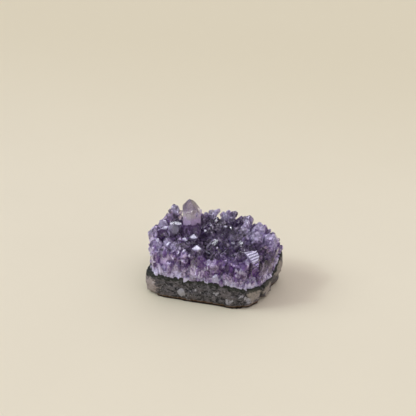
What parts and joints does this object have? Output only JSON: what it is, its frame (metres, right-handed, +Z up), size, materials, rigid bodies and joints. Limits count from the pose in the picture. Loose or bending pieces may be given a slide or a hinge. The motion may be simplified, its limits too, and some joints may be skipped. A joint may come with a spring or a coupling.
{
  "type": "amethyst cluster",
  "caption": "Free-standing mineral specimen: a crust of pointed purple quartz crystals on a flat-footed slab of dark basalt matrix",
  "frame": {"origin": "middle of the bounding box, on the surface it stands on", "axes": "+X to the right along the long front break, +Y towards the back where the tall crystal stands, +Z up through the crystals"},
  "size_m": [0.08, 0.054, 0.0445],
  "materials": {
    "basalt": "rough, matt, speckled",
    "amethyst": "glossy natural crystal faces, see-through at the points and milky at the root"
  },
  "bodies": {
    "root": {"basalt_matrix": "basalt", "amethyst_crust": "amethyst"}
  },
  "joints": []
}
